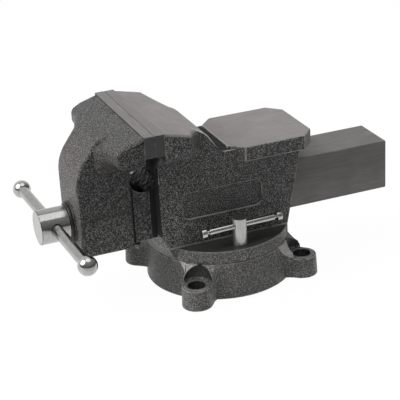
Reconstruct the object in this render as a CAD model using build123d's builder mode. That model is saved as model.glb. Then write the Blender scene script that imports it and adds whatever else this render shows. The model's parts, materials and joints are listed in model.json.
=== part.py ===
from build123d import *
from math import cos, radians, sin
import os

os.makedirs("parts", exist_ok=True)

# Swivel bench vise. Millimetres, bench surface at z = 0, swivel axis on Z, screw along X,
# handle towards -X. The jaws are closed and the base is turned a little under the body.

# running gaps
swivel_gap = 0.3  # flange above the base ring
slide_gap = 0.3  # ram in its tunnel, on each side
jaw_gap = 0.3  # between the faces of the closed jaws
turn_gap = 0.08  # radial, round a turning shaft
loose_gap = 0.3  # radial, round a bolt or a sliding bar
thread_gap = 0.05  # radial, between a plain thread form and its nut

# swivel base
base_foot_radius = 78
base_top_radius = 73.3
base_height = 37.8
base_relief_depth = 2.5
lug_count = 4
lug_turn = 52.5  # degrees from +X to the first lug
lug_circle_radius = 89.6
lug_radius = 16
lug_height = 21.8
lug_draft = 3
lug_blend = 14
lug_hole_radius = 8.8
pad_radius = 12.6
pad_height = 0.8
spotface_radius = 15.4
gusset_reach = 92  # radius where the gussets run out on the lug tops
groove_floor = 9
groove_lip = 10.8
groove_slot_width = 13.2
groove_undercut_width = 22.8
entry_length = 24  # gap in the lips where the lock nuts drop in
entry_turn = 90

# body with the fixed jaw
flange_radius = 73.3
flange_thickness = 13.3
spigot_radius = 22
spigot_length = 26
body_width = 80
body_front = -77.5
body_chin = 3  # the body's overhang is this much above the flange's underside
foot_margin = 1  # the foot stands out this far beyond the flange, at its underside
foot_reach = 20  # and this much further at the height foot_rise, past the body's corners
foot_rise = 42
body_rear_low = 62.7
body_rear_high = 79.5
saddle_height = 146.5
saddle_front = -8.2
brow_x = -23.5
brow_height = 169.5
brow_round = 25
saddle_round = 5
panel_front = -52.7
panel_rear = 34
panel_low = 81
panel_high = 109
panel_depth = 1.8
panel_round = 7

# anvil
anvil_front = 1
anvil_length = 93.5
anvil_width = 97
anvil_top = 149.7
anvil_thickness = 15.5
anvil_corner_x = 13.8
anvil_corner_y = 15

# jaws
jaw_width = 150
parting_x = -89.7
plate_top = 191
plate_height = 22
plate_thickness = 10.1
plate_bevel = 0.6
screw_spacing = 100
screw_shank_radius = 4
screw_shank_length = 15
screw_head_radius = 6.5
screw_head_height = 6
screw_recess = 0.8  # head below the plate's face
socket_radius = 3.4
socket_depth = 3.6
screw_hole_extra = 2

# heads of the two castings, seen from the side
fixed_seat_top = 190.4
fixed_head_depth = 28.8  # from the plate's seat to the back of the head, at the end of the jaw
fixed_head_slope = 0.235
fixed_crown_start = 29.8  # from the plate's seat to where the top falls more steeply
fixed_crown_slope = 0.53
fixed_growth = 20  # extra depth of the head where it meets the side wall
movable_seat_top = 189.5
movable_head_depth = 28
movable_head_slope = 0.3
movable_crown_start = 18
movable_crown_slope = 0.55
movable_growth = 11
growth_reach = 43  # length along the wing over which the extra depth dies away
head_low = 160.6
flare = 16  # drop of the hollow under each wing where it meets the side wall
flare_reach = 22  # length of that hollow along the wing
wing_steps = 9
crown_round = 8
nose_round = 8
end_round = 4.5

# movable jaw
neck_width = 58
neck_front = -103
neck_rear = -83
cheek_width = 64
cheek_front = -158.5
forehead_x = -134.4
chest_height = 146.9  # where the front face meets the sloping brow
chest_round = 45
chin_round = 8
cheek_low = 58
cheek_round = 3
forehead_round = 12
boss_radius = 21.5
boss_height = 2
throat_radius = 13
throat_height = 129

# ram
ram_width = 53.7
ram_height = 53.7
ram_low = 62.5
ram_end = 186.4
ram_bevel = 0.8
channel_width = 35
channel_roof = 11  # metal left above the channel
channel_round = 10
channel_front = -126

# screw, nut and handle
screw_height = 87.5
spindle_radius = 12
spindle_end = 125
spindle_point = 3
hub_radius = 17.8
hub_end = -193.6
hub_bevel = 1.2
washer_radius = 20
washer_thickness = 2.5
nut_front = -68
nut_length = 34
nut_width = 28
nut_crown = 15.5  # top of the nut above the screw's axis
nut_bolt_radius = 6
nut_bolt_grip = 10  # thread inside the nut
nut_bolt_head_radius = 9
nut_bolt_head_height = 7.5
nut_bolt_washer_radius = 11
nut_bolt_washer_thickness = 2
nut_bolt_depth = 11.5  # depth of the pocket under the body
spring_wire = 2.6  # side of the square wire
spring_radius = 14.2
spring_turns = 3
spring_length = 12
keeper_radius = 16.5
keeper_thickness = 3
pin_radius = 2
pin_length = 32
handle_x = -177.8
handle_tilt = 2.8  # degrees, far end low
handle_radius = 5.9
handle_near = 116.2
handle_far = 118.8
ball_radius = 9.7
ball_flat = 7.6  # from the ball's centre to its flat
tenon_radius = 4
tenon_length = 9

# lock bolts of the swivel
lock_radius = 59.3  # from the swivel axis
post_radius = 7.3
post_top = 80.5
post_bevel = 0.8
lock_shank_radius = 6
lock_nut_size = 20
lock_nut_height = 11.5
bar_height = 72
bar_turn = 2.5  # degrees, as the bar stands at rest
bar_radius = 3.4
bar_length = 79
bar_shift = 2.5
bar_neck_radius = 1.9
bar_neck_length = 3
cap_radius = 4.9
cap_thickness = 5.4
cap_hole_depth = 3.5

# places worked out from the sizes above
half_jaw = jaw_width / 2
plate_low = plate_top - plate_height
fixed_face = parting_x + jaw_gap / 2
movable_face = parting_x - jaw_gap / 2
fixed_seat = fixed_face + plate_thickness
movable_seat = movable_face - plate_thickness
plate_middle = plate_low + plate_height / 2
flange_low = base_height + swivel_gap
flange_top = flange_low + flange_thickness
foot_radius = flange_radius + foot_margin
ram_top = ram_low + ram_height
tunnel_low = ram_low - slide_gap
tunnel_top = ram_top + slide_gap
tunnel_width = ram_width + 2 * slide_gap
anvil_low = anvil_top - anvil_thickness
anvil_rear = anvil_front + anvil_length
boss_face = cheek_front - boss_height
hub_start = boss_face - slide_gap - washer_thickness
nut_middle = nut_front + nut_length / 2
screw_places = [(-screw_spacing / 2, plate_middle), (screw_spacing / 2, plate_middle)]
screw_grip = screw_recess + screw_head_height + screw_shank_length - plate_thickness
pocket_roof = flange_low + nut_bolt_depth
groove_roof = base_height - groove_lip
keeper_front = channel_front + spring_length + 2 * slide_gap
pin_x = keeper_front + keeper_thickness + slide_gap + pin_radius
axle = Plane(origin=(0, 0, screw_height), x_dir=(0, 1, 0), z_dir=(1, 0, 0))


def tube(plane, outer, inner, length):
    """A plain round ring or sleeve standing on a plane, as a separate solid."""
    with BuildPart() as ring:
        with BuildSketch(plane):
            Circle(outer)
            Circle(inner, mode=Mode.SUBTRACT)
        extrude(amount=length)
    return ring.part


def save(part, name):
    part.label = name
    export_step(part, f"parts/{name}.step")


# The base is a drafted drum with four lugs. Cheeks slope from the rim down to each lug
# on both sides of the pocket that clears the bolt head.
with BuildPart() as swivel_base:
    with BuildSketch() as lug_plan:
        Circle(base_top_radius)
        with PolarLocations(lug_circle_radius, lug_count, start_angle=lug_turn):
            Circle(lug_radius)
        with PolarLocations(lug_circle_radius / 2, lug_count, start_angle=lug_turn):
            Rectangle(lug_circle_radius, 2 * lug_radius)
        corners = lug_plan.vertices().filter_by(lambda v: abs(v.X**2 + v.Y**2 - base_top_radius**2) < 1)
        fillet(corners, lug_blend)
    extrude(amount=base_height, taper=lug_draft)
    with BuildSketch(Plane.XZ):
        with BuildLine():
            Polyline(
                (base_top_radius, base_height + 1),
                (base_top_radius, base_height),
                (gusset_reach, lug_height),
                (2 * gusset_reach, lug_height),
                (2 * gusset_reach, base_height + 1),
                close=True,
            )
        make_face()
    revolve(axis=Axis.Z, mode=Mode.SUBTRACT)
    with BuildSketch(Plane.XZ):
        with BuildLine():
            Polyline(
                (0, 0), (base_foot_radius, 0), (base_top_radius, base_height), (0, base_height), close=True
            )
        make_face()
    revolve(axis=Axis.Z)
    with BuildSketch(Plane.XY.offset(lug_height)):
        with PolarLocations(lug_circle_radius, lug_count, start_angle=lug_turn):
            Circle(spotface_radius)
    extrude(amount=base_height, mode=Mode.SUBTRACT)
    with BuildSketch(Plane.XY.offset(lug_height)):
        with PolarLocations(lug_circle_radius, lug_count, start_angle=lug_turn):
            Circle(pad_radius)
    extrude(amount=pad_height)
    with BuildSketch():
        with PolarLocations(lug_circle_radius, lug_count, start_angle=lug_turn):
            Circle(lug_hole_radius)
        Circle(spigot_radius + turn_gap)
    extrude(amount=2 * base_height, mode=Mode.SUBTRACT)
    with BuildSketch(Plane.XY.offset(groove_floor)):
        Circle(lock_radius + groove_undercut_width / 2)
        Circle(lock_radius - groove_undercut_width / 2, mode=Mode.SUBTRACT)
    extrude(amount=groove_roof - groove_floor, mode=Mode.SUBTRACT)
    with BuildSketch(Plane.XY.offset(groove_roof)):
        Circle(lock_radius + groove_slot_width / 2)
        Circle(lock_radius - groove_slot_width / 2, mode=Mode.SUBTRACT)
        with PolarLocations(lock_radius, 1, start_angle=entry_turn + lug_turn):
            Rectangle(groove_undercut_width - 2, entry_length)
    extrude(amount=groove_lip, mode=Mode.SUBTRACT)
    with BuildSketch():
        Circle(lock_radius + groove_undercut_width / 2)
        Circle(lock_radius - groove_undercut_width / 2, mode=Mode.SUBTRACT)
    extrude(amount=base_relief_depth, mode=Mode.SUBTRACT)
save(swivel_base.part, "swivel_base")


def wing(side, root_y, seat_x, seat_z, slope, depth, growth, crown_start, crown_slope, back):
    """One half of a jaw's head, from inside the casting out to the end of the jaw.

    side is 1 or -1 for the far and near half. back is 1 where the head lies towards +X
    from its plate and -1 where it lies towards -X. Towards the casting the head grows
    deeper and hollows into the side wall. Its top falls from the plate with the given
    slope, and more steeply from crown_start on.
    """
    slab = 3 * depth
    crown_top = seat_z - slope * crown_start
    with BuildPart() as half_head:
        for step in range(-1, wing_steps + 1):
            y = root_y + step * (half_jaw - root_y) / wing_steps
            hollow = flare * max(0, 1 - (y - root_y) / flare_reach) ** 2
            reach = depth + growth * max(0, 1 - (y - root_y) / growth_reach) ** 2
            with BuildSketch(Plane.XZ.offset(-side * y)) as section:
                with BuildLine():
                    Polyline(
                        (seat_x - back * depth, crown_top + crown_slope * (crown_start + depth)),
                        (seat_x + back * reach, crown_top - crown_slope * (reach - crown_start)),
                        (seat_x + back * reach, head_low - hollow),
                        (seat_x - back * depth, head_low - hollow),
                        close=True,
                    )
                make_face()
                nose = section.vertices().group_by(Axis.X)[-1 if back > 0 else 0].sort_by(Axis.Y)
                fillet(nose[-1], crown_round)
                low_nose = (seat_x + back * reach, head_low - hollow)
                fillet(section.vertices().sort_by_distance(low_nose)[0], nose_round)
        loft()
        with BuildSketch(Plane.XZ):
            with BuildLine():
                Polyline(
                    (seat_x, seat_z),
                    (seat_x + back * slab, seat_z - slope * slab),
                    (seat_x + back * slab, 0),
                    (seat_x, 0),
                    close=True,
                )
            make_face()
        extrude(amount=jaw_width, both=True, mode=Mode.INTERSECT)
        end_face = half_head.faces().sort_by(Axis.Y)[-1 if side > 0 else 0]
        rim = end_face.edges().filter_by(lambda e: abs(e.center().X - seat_x) > 0.1)
        fillet(rim, end_round)
    return half_head.part


fixed_wings = [
    wing(
        side, body_width / 2, fixed_seat, fixed_seat_top, fixed_head_slope, fixed_head_depth,
        fixed_growth, fixed_crown_start, fixed_crown_slope, 1,
    )
    for side in (-1, 1)
]
movable_wings = [
    wing(
        side, cheek_width / 2, movable_seat, movable_seat_top, movable_head_slope, movable_head_depth,
        movable_growth, movable_crown_start, movable_crown_slope, -1,
    )
    for side in (-1, 1)
]
crown_x = fixed_seat + fixed_crown_start
crown_height = fixed_seat_top - fixed_head_slope * fixed_crown_start

# The body carries the fixed jaw, the anvil, the ram's tunnel and the turning flange.
with BuildPart() as fixed_jaw:
    with BuildSketch(Plane.XZ) as body_side:
        with BuildLine():
            Polyline(
                (body_front, flange_low + body_chin),
                (body_front, head_low - flare),
                (fixed_seat, head_low - flare),
                (fixed_seat, fixed_seat_top),
                (crown_x, crown_height),
                (brow_x, brow_height),
                (saddle_front, saddle_height),
                (anvil_front + anvil_thickness, saddle_height),
                (anvil_front + anvil_thickness, anvil_low),
                (body_rear_high, anvil_low),
                (body_rear_low, flange_top),
                (body_rear_low, flange_low + body_chin),
                close=True,
            )
        make_face()
        fillet(body_side.vertices().sort_by_distance((brow_x, brow_height))[0], brow_round)
        fillet(body_side.vertices().sort_by_distance((saddle_front, saddle_height))[0], saddle_round)
    extrude(amount=body_width / 2, both=True)
    add(fixed_wings)
    with BuildSketch(Plane.XY.offset(flange_low)):
        Circle(flange_radius)
    extrude(amount=flange_thickness)
    with BuildSketch(Plane.XZ):
        with BuildLine():
            Polyline(
                (foot_radius, flange_low),
                (foot_radius + foot_reach, flange_low + foot_rise),
                (foot_radius + foot_reach, flange_low),
                close=True,
            )
        make_face()
    revolve(axis=Axis.Z, mode=Mode.SUBTRACT)
    with BuildSketch(Plane.XY.offset(flange_low - spigot_length)):
        Circle(spigot_radius)
    extrude(amount=spigot_length)
    with BuildSketch(Plane.XY.offset(anvil_low)):
        with BuildLine():
            Polyline(
                (anvil_front + anvil_corner_x, -anvil_width / 2),
                (anvil_rear - anvil_corner_x, -anvil_width / 2),
                (anvil_rear, -anvil_width / 2 + anvil_corner_y),
                (anvil_rear, anvil_width / 2 - anvil_corner_y),
                (anvil_rear - anvil_corner_x, anvil_width / 2),
                (anvil_front + anvil_corner_x, anvil_width / 2),
                (anvil_front, anvil_width / 2 - anvil_corner_y),
                (anvil_front, -anvil_width / 2 + anvil_corner_y),
                close=True,
            )
        make_face()
    extrude(amount=anvil_thickness)
    with BuildSketch(Plane.XZ) as nose_side:
        with BuildLine():
            Polyline(
                (body_front + 1, tunnel_top),
                (fixed_face, tunnel_top),
                (fixed_face, plate_low),
                (body_front + 1, plate_low),
                close=True,
            )
        make_face()
    extrude(amount=neck_width / 2, both=True)
    with BuildSketch(Plane.XZ):
        with Locations((parting_x, throat_height)):
            Circle(throat_radius)
    extrude(amount=body_width, both=True, mode=Mode.SUBTRACT)
    with BuildSketch(Plane.YZ):
        with Locations((0, (tunnel_low + tunnel_top) / 2)):
            Rectangle(tunnel_width, tunnel_top - tunnel_low)
    extrude(amount=jaw_width, both=True, mode=Mode.SUBTRACT)
    for side in (-1, 1):
        with BuildSketch(Plane.XZ.offset(-side * (body_width / 2 - panel_depth))):
            with Locations(((panel_front + panel_rear) / 2, (panel_low + panel_high) / 2)):
                RectangleRounded(panel_rear - panel_front, panel_high - panel_low, panel_round)
        extrude(amount=-side * 2 * panel_depth, mode=Mode.SUBTRACT)
    with Locations(*[Location((0, side * lock_radius, flange_top)) for side in (-1, 1)]):
        Hole(lock_shank_radius + loose_gap, 2 * flange_thickness)
    with BuildSketch(Plane.XY.offset(flange_low)):
        with Locations((nut_middle, 0)):
            Circle(nut_bolt_washer_radius + loose_gap)
    extrude(amount=nut_bolt_depth, mode=Mode.SUBTRACT)
    with BuildSketch(Plane.XY.offset(flange_low)):
        with Locations((nut_middle, 0)):
            Circle(nut_bolt_radius + loose_gap)
    extrude(amount=tunnel_low - flange_low, mode=Mode.SUBTRACT)
    with BuildSketch(Plane.YZ.offset(fixed_seat)):
        with Locations(*screw_places):
            Circle(screw_shank_radius + thread_gap)
    extrude(amount=screw_grip + screw_hole_extra, mode=Mode.SUBTRACT)
save(fixed_jaw.part, "fixed_jaw")


# The movable jaw and its ram are one casting. The ram is a channel, open below, over the nut.
with BuildPart() as movable_jaw:
    with BuildSketch(Plane.XZ) as jaw_side:
        with BuildLine():
            Polyline(
                (neck_front, cheek_low),
                (cheek_front, cheek_low),
                (cheek_front, chest_height),
                (forehead_x, movable_seat_top + movable_head_slope * (forehead_x - movable_seat)),
                (movable_seat, movable_seat_top),
                (movable_seat, head_low - flare),
                (neck_front, head_low - flare),
                close=True,
            )
        make_face()
        fillet(jaw_side.vertices().sort_by_distance((cheek_front, chest_height))[0], chest_round)
        fillet(jaw_side.vertices().sort_by(Axis.Y)[-2], forehead_round)
        fillet(jaw_side.vertices().sort_by_distance((cheek_front, cheek_low))[0], chin_round)
    extrude(amount=cheek_width / 2, both=True)
    cheeks = movable_jaw.faces().filter_by(Axis.Y)
    fillet(cheeks.edges().filter_by(lambda e: e.center().X < movable_seat - 1), cheek_round)
    add(movable_wings)
    with BuildSketch(Plane.XZ):
        with BuildLine():
            Polyline(
                (neck_front - 1, ram_low),
                (neck_rear, ram_low),
                (neck_rear, ram_top),
                (movable_face - slide_gap, ram_top),
                (movable_face - slide_gap, plate_low),
                (neck_front - 1, plate_low),
                close=True,
            )
        make_face()
    extrude(amount=neck_width / 2, both=True)
    with BuildSketch(Plane.YZ.offset(neck_front - 1)):
        with Locations((0, ram_low + ram_height / 2)):
            Rectangle(ram_width, ram_height)
    extrude(amount=ram_end - neck_front + 1)
    chamfer(movable_jaw.faces().sort_by(Axis.X)[-1].edges(), ram_bevel)
    with BuildSketch(axle.offset(boss_face)):
        Circle(boss_radius)
    extrude(amount=boss_height + 1)
    with BuildSketch(Plane.YZ.offset(channel_front)) as channel:
        with Locations((0, ram_low + (ram_height - channel_roof) / 2)):
            Rectangle(channel_width, ram_height - channel_roof)
        fillet(channel.vertices().group_by(Axis.Y)[-1], channel_round)
    extrude(amount=ram_end - channel_front, mode=Mode.SUBTRACT)
    with BuildSketch(axle.offset(boss_face)):
        Circle(spindle_radius + turn_gap)
    extrude(amount=channel_front - boss_face, mode=Mode.SUBTRACT)
    with BuildSketch(Plane.XZ):
        with Locations((parting_x, throat_height)):
            Circle(throat_radius)
    extrude(amount=neck_width, both=True, mode=Mode.SUBTRACT)
    with BuildSketch(Plane.YZ.offset(movable_seat)):
        with Locations(*screw_places):
            Circle(screw_shank_radius + thread_gap)
    extrude(amount=-screw_grip - screw_hole_extra, mode=Mode.SUBTRACT)
save(movable_jaw.part, "movable_jaw")


# Jaw plates, each held by two socket screws sunk in its face.
for jaw, face_x, out in (("fixed", fixed_face, -1), ("movable", movable_face, 1)):
    face = Plane(origin=(face_x, 0, 0), x_dir=(0, 1, 0), z_dir=(1, 0, 0))
    with BuildPart() as plate:
        with BuildSketch(face):
            with Locations((0, plate_middle)):
                Rectangle(jaw_width, plate_height)
        extrude(amount=-out * plate_thickness)
        chamfer(plate.faces().sort_by(Axis.X)[0 if out < 0 else -1].edges(), plate_bevel)
        with BuildSketch(face):
            with Locations(*screw_places):
                Circle(screw_shank_radius + loose_gap)
        extrude(amount=-out * plate_thickness, mode=Mode.SUBTRACT)
        with BuildSketch(face):
            with Locations(*screw_places):
                Circle(screw_head_radius + loose_gap)
        extrude(amount=-out * (screw_recess + screw_head_height), mode=Mode.SUBTRACT)
    save(plate.part, f"{jaw}_jaw_plate")
    head_face = face.offset(-out * screw_recess)
    with BuildPart() as screws:
        with BuildSketch(head_face):
            with Locations(*screw_places):
                Circle(screw_head_radius)
        extrude(amount=-out * screw_head_height)
        with BuildSketch(head_face):
            with Locations(*screw_places):
                Circle(screw_shank_radius)
        extrude(amount=-out * (screw_head_height + screw_shank_length))
        with BuildSketch(head_face):
            with Locations(*screw_places):
                RegularPolygon(socket_radius, 6)
        extrude(amount=-out * socket_depth, mode=Mode.SUBTRACT)
    save(screws.part, f"{jaw}_plate_screws")


# Screw: hub with the handle's cross hole, and a long rod at the thread's outside diameter.
tilt = radians(handle_tilt)
handle_line = Plane(origin=(handle_x, 0, screw_height), x_dir=(1, 0, 0), z_dir=(0, cos(tilt), -sin(tilt)))
with BuildPart() as spindle:
    with BuildSketch(axle.offset(hub_end)):
        Circle(hub_radius)
    extrude(amount=hub_start - hub_end)
    chamfer(spindle.edges(), hub_bevel)
    with BuildSketch(axle.offset(hub_start)):
        Circle(spindle_radius)
    extrude(amount=spindle_end - hub_start)
    chamfer(spindle.faces().sort_by(Axis.X)[-1].edges(), spindle_point)
    with BuildSketch(handle_line):
        Circle(handle_radius + loose_gap)
    extrude(amount=2 * hub_radius, both=True, mode=Mode.SUBTRACT)
    with BuildSketch(Plane.XY.offset(screw_height)):
        with Locations((pin_x, 0)):
            Circle(pin_radius)
    extrude(amount=spindle_radius * 2, both=True, mode=Mode.SUBTRACT)
save(spindle.part, "spindle")

for name, start, radius, thickness in (
    ("thrust_washer", hub_start, washer_radius, washer_thickness),
    ("keeper_washer", keeper_front, keeper_radius, keeper_thickness),
):
    save(tube(axle.offset(start), radius, spindle_radius + turn_gap, thickness), name)

with BuildPart() as split_pin:
    with BuildSketch(Plane.XY.offset(screw_height - pin_length / 2)):
        with Locations((pin_x, 0)):
            Circle(pin_radius - thread_gap)
    extrude(amount=pin_length)
save(split_pin.part, "split_pin")

coil_start = channel_front + slide_gap + spring_wire / 2
coil_rise = spring_length - spring_wire
with BuildPart() as thrust_spring:
    with BuildLine():
        coil = Helix(
            coil_rise / spring_turns, coil_rise, spring_radius, (coil_start, 0, screw_height), (1, 0, 0)
        )
    with BuildSketch(Plane(origin=coil @ 0, z_dir=coil % 0)):
        Rectangle(spring_wire, spring_wire)
    sweep(is_frenet=True)
save(thrust_spring.part, "thrust_spring")


# The nut stands on the tunnel's floor inside the ram, held by a bolt from below.
with BuildPart() as spindle_nut:
    with BuildSketch(Plane.YZ.offset(nut_front)) as nut_face:
        with Locations((0, (tunnel_low + screw_height + nut_crown) / 2)):
            Rectangle(nut_width, screw_height + nut_crown - tunnel_low)
        fillet(nut_face.vertices().group_by(Axis.Y)[-1], channel_round - 2)
        with Locations((0, screw_height)):
            Circle(spindle_radius + turn_gap, mode=Mode.SUBTRACT)
    extrude(amount=nut_length)
    with BuildSketch(Plane.XY.offset(tunnel_low)):
        with Locations((nut_middle, 0)):
            Circle(nut_bolt_radius + thread_gap)
    extrude(amount=nut_bolt_grip + screw_hole_extra / 2, mode=Mode.SUBTRACT)
save(spindle_nut.part, "spindle_nut")

nut_bolt_head_top = pocket_roof - nut_bolt_washer_thickness
with BuildPart() as nut_bolt:
    with BuildSketch(Plane.XY.offset(nut_bolt_head_top - nut_bolt_head_height)):
        with Locations((nut_middle, 0)):
            RegularPolygon(nut_bolt_head_radius, 6, major_radius=False)
    extrude(amount=nut_bolt_head_height)
    with BuildSketch(Plane.XY.offset(nut_bolt_head_top)):
        with Locations((nut_middle, 0)):
            Circle(nut_bolt_radius)
    extrude(amount=tunnel_low + nut_bolt_grip - nut_bolt_head_top)
save(nut_bolt.part, "nut_bolt")
washer_seat = Plane(origin=(nut_middle, 0, nut_bolt_head_top))
save(
    tube(washer_seat, nut_bolt_washer_radius, nut_bolt_radius + loose_gap, nut_bolt_washer_thickness),
    "nut_bolt_washer",
)


# Handle: a loose bar with a ball screwed on each end.
with BuildPart() as handle_bar:
    with BuildSketch(handle_line.offset(-handle_near + ball_flat)):
        Circle(handle_radius)
    extrude(amount=handle_near + handle_far - 2 * ball_flat)
    with BuildSketch(handle_line.offset(-handle_near + ball_flat - tenon_length)):
        Circle(tenon_radius)
    extrude(amount=handle_near + handle_far - 2 * ball_flat + 2 * tenon_length)
save(handle_bar.part, "handle_bar")

for name, place, inward in (("near", -handle_near, 1), ("far", handle_far, -1)):
    centre = handle_line.offset(place)
    flat = handle_line.offset(place + inward * ball_flat)
    with BuildPart() as ball:
        with Locations(centre.location):
            Sphere(ball_radius)
        with BuildSketch(flat):
            Circle(ball_radius)
        extrude(amount=inward * ball_radius, mode=Mode.SUBTRACT)
        with BuildSketch(flat):
            Circle(tenon_radius + thread_gap)
        extrude(amount=-inward * (tenon_length + screw_hole_extra / 2), mode=Mode.SUBTRACT)
    save(ball.part, f"handle_ball_{name}")


# Swivel locks: a bolt through the flange on each side, a nut in the base's groove
# and a sliding bar through the bolt's post.
for name, side in (("near", -1), ("far", 1)):
    post_place = Plane(origin=(0, side * lock_radius, 0))
    bar_line = Plane(
        origin=(0, side * lock_radius, bar_height),
        x_dir=(0, 0, 1),
        z_dir=(cos(radians(bar_turn)), -side * sin(radians(bar_turn)), 0),
    )
    nut_top = groove_roof - slide_gap
    with BuildPart() as lock_nut:
        with BuildSketch(post_place.offset(nut_top - lock_nut_height)):
            Rectangle(lock_nut_size, lock_nut_size)
            Circle(lock_shank_radius + thread_gap, mode=Mode.SUBTRACT)
        extrude(amount=lock_nut_height)
    save(lock_nut.part, f"lock_nut_{name}")
    with BuildPart() as lock_bolt:
        with BuildSketch(post_place.offset(flange_top)):
            Circle(post_radius)
        extrude(amount=post_top - flange_top)
        chamfer(lock_bolt.faces().sort_by(Axis.Z)[-1].edges(), post_bevel)
        with BuildSketch(post_place.offset(nut_top - lock_nut_height)):
            Circle(lock_shank_radius)
        extrude(amount=flange_top - nut_top + lock_nut_height)
        with BuildSketch(bar_line):
            Circle(bar_radius + loose_gap)
        extrude(amount=2 * post_radius, both=True, mode=Mode.SUBTRACT)
    save(lock_bolt.part, f"lock_bolt_{name}")
    half_bar = bar_length / 2
    with BuildPart() as lock_bar:
        with BuildSketch(bar_line.offset(bar_shift - half_bar + bar_neck_length)):
            Circle(bar_radius)
        extrude(amount=bar_length - 2 * bar_neck_length)
        with BuildSketch(bar_line.offset(bar_shift - half_bar - cap_hole_depth)):
            Circle(bar_neck_radius)
        extrude(amount=bar_length + 2 * cap_hole_depth)
    save(lock_bar.part, f"lock_bar_{name}")
    with BuildPart() as caps:
        for end in (-1, 1):
            with BuildSketch(bar_line.offset(bar_shift + end * half_bar)):
                Circle(cap_radius)
            extrude(amount=end * cap_thickness)
            with BuildSketch(bar_line.offset(bar_shift + end * half_bar)):
                Circle(bar_neck_radius + thread_gap)
            extrude(amount=end * (cap_hole_depth + screw_hole_extra / 4), mode=Mode.SUBTRACT)
    save(caps.part, f"lock_bar_caps_{name}")
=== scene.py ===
import json
import math
from types import SimpleNamespace

import bmesh
import bpy
import numpy as np
from mathutils import Matrix, Vector

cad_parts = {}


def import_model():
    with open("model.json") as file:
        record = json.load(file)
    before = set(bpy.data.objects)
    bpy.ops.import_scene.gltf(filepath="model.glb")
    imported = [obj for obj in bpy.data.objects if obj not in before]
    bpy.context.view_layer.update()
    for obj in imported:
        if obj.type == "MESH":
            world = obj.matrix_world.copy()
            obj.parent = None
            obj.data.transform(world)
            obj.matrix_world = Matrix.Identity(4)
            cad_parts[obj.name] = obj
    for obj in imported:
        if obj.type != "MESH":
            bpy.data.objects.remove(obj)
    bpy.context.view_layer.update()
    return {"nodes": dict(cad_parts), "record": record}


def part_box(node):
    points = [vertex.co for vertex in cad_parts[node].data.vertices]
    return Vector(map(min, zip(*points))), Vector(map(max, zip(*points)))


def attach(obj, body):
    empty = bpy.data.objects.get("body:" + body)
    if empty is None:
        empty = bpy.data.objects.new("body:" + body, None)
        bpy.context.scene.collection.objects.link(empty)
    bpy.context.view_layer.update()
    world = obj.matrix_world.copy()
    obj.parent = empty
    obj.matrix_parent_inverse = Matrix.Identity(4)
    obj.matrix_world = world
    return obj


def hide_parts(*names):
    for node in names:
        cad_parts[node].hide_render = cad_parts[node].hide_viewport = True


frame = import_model()
nodes = frame["nodes"]
record = frame["record"]
bodyOf = {node: body for body, members in record["behaviour"]["bodies"].items() for node in members}
scene = bpy.context.scene
mm = 0.001
print("frame:", len(nodes), "nodes")


# shader node helpers

def newNode(tree, kind, **settings):
    node = tree.nodes.new(kind)
    for key, value in settings.items():
        setattr(node, key, value)
    return node


def feed(target, source):
    if isinstance(source, bpy.types.NodeSocket):
        target.id_data.links.new(source, target)
    else:
        target.default_value = source


def mathNode(operation, *values):
    tree = next(value.id_data for value in values if isinstance(value, bpy.types.NodeSocket))
    node = newNode(tree, "ShaderNodeMath", operation=operation)
    for socket, value in zip(node.inputs, values):
        feed(socket, value)
    return node.outputs[0]


def product(*values):
    total = values[0]
    for value in values[1:]:
        total = mathNode("MULTIPLY", total, value)
    return total


def lengthOf(first, second):
    squares = (mathNode("MULTIPLY", value, value) for value in (first, second))
    return mathNode("SQRT", mathNode("ADD", *squares))


def grown(share, amount):  # 1 + share * amount
    return mathNode("MULTIPLY_ADD", share, amount, 1.0)


def mapRange(value, low, high, toLow=0.0, toHigh=1.0):
    node = newNode(value.id_data, "ShaderNodeMapRange")
    labels = ("Value", "From Min", "From Max", "To Min", "To Max")
    for label, number in zip(labels, (value, low, high, toLow, toHigh)):
        feed(node.inputs[label], number)
    return node.outputs["Result"]


def between(share, low, high):
    return mapRange(share, 0.0, 1.0, low, high)


def past(value, edge, blur):
    return mapRange(value, edge - blur, edge + blur)


def before(value, edge, blur):
    return mapRange(value, edge - blur, edge + blur, 1.0, 0.0)


def band(value, limits, blur):
    return product(past(value, limits[0], blur), before(value, limits[1], blur))


def mixColor(share, first, second, blend="MIX"):
    node = newNode(share.id_data, "ShaderNodeMix", data_type="RGBA", blend_type=blend)
    feed(node.inputs["Factor"], share)
    for label, color in (("A", first), ("B", second)):
        feed(node.inputs[label], (*color, 1) if isinstance(color, tuple) else color)
    return node.outputs["Result"]


def mixFloat(share, first, second):
    node = newNode(share.id_data, "ShaderNodeMix", data_type="FLOAT")
    for label, value in (("Factor", share), ("A", first), ("B", second)):
        feed(node.inputs[label], value)
    return node.outputs["Result"]


def scaled(color, factor):
    node = newNode(factor.id_data, "ShaderNodeVectorMath", operation="SCALE")
    feed(node.inputs[0], color)
    feed(node.inputs["Scale"], factor)
    return node.outputs[0]


def coordinate(tree, label):
    return newNode(tree, "ShaderNodeTexCoord").outputs[label]


def splitAxes(vector):
    node = newNode(vector.id_data, "ShaderNodeSeparateXYZ")
    feed(node.inputs[0], vector)
    return node.outputs


def noise(place, scale, detail=2.0, roughness=0.5):
    node = newNode(place.id_data, "ShaderNodeTexNoise")
    for label, value in (("Vector", place), ("Scale", scale), ("Detail", detail), ("Roughness", roughness)):
        feed(node.inputs[label], value)
    return node.outputs["Fac"]


def edgeShare(tree):  # 1 on the faces that round an edge
    return newNode(tree, "ShaderNodeAttribute", attribute_name="edgeShare").outputs["Fac"]


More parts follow.
